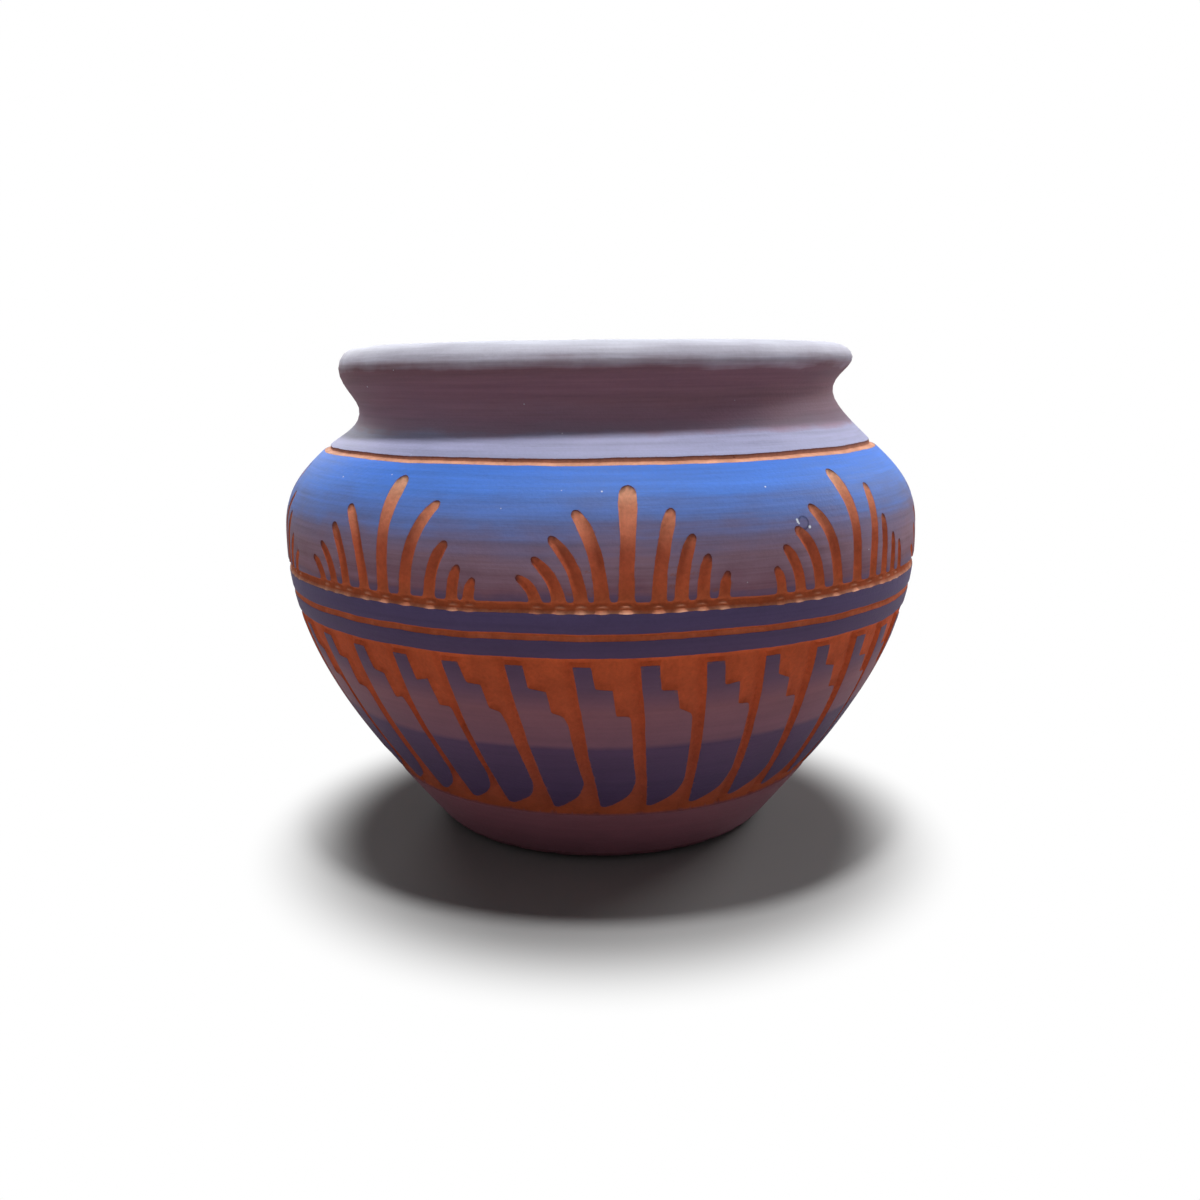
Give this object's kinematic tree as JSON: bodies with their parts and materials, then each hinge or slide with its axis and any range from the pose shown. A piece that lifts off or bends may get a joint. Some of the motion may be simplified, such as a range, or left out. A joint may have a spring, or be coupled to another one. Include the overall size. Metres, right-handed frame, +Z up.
{
  "type": "miniature pottery bowl",
  "caption": "Small round-bellied clay bowl with a rolled lip, covered in coloured slip that is carved into plume fans, stripes and a band of stepped feathers.",
  "frame": {"origin": "centre of the foot, on the surface that the bowl stands on", "axes": "+Z up along the axis of the bowl; -Y is the side seen in the picture, +X its right"},
  "size_m": [0.076, 0.076, 0.0575],
  "materials": {
    "clay": "matte bare terracotta",
    "rim_slip": "matte grey mauve slip",
    "shoulder_slip": "matte blue to mauve slip",
    "stripe_slip": "matte dark violet slip",
    "feather_slip": "matte violet to mauve slip",
    "foot_slip": "matte brown mauve slip"
  },
  "bodies": {
    "root": {"clay_body": "clay", "rim_coat": "rim_slip", "shoulder_coat": "shoulder_slip", "upper_stripe_coat": "stripe_slip", "lower_stripe_coat": "stripe_slip", "foot_coat": "foot_slip", "feather_coat_01": "feather_slip", "feather_coat_02": "feather_slip", "feather_coat_03": "feather_slip", "feather_coat_04": "feather_slip", "feather_coat_05": "feather_slip", "feather_coat_06": "feather_slip", "feather_coat_07": "feather_slip", "feather_coat_08": "feather_slip", "feather_coat_09": "feather_slip", "feather_coat_10": "feather_slip", "feather_coat_11": "feather_slip", "feather_coat_12": "feather_slip", "feather_coat_13": "feather_slip", "feather_coat_14": "feather_slip", "feather_coat_15": "feather_slip", "feather_coat_16": "feather_slip", "feather_coat_17": "feather_slip", "feather_coat_18": "feather_slip", "feather_coat_19": "feather_slip", "feather_coat_20": "feather_slip", "feather_coat_21": "feather_slip", "feather_coat_22": "feather_slip", "feather_coat_23": "feather_slip", "feather_coat_24": "feather_slip", "feather_coat_25": "feather_slip", "feather_coat_26": "feather_slip", "feather_coat_27": "feather_slip", "feather_coat_28": "feather_slip", "feather_coat_29": "feather_slip", "feather_coat_30": "feather_slip", "feather_coat_31": "feather_slip", "feather_coat_32": "feather_slip", "feather_coat_33": "feather_slip", "feather_coat_34": "feather_slip", "feather_coat_35": "feather_slip", "feather_coat_36": "feather_slip"}
  },
  "joints": []
}
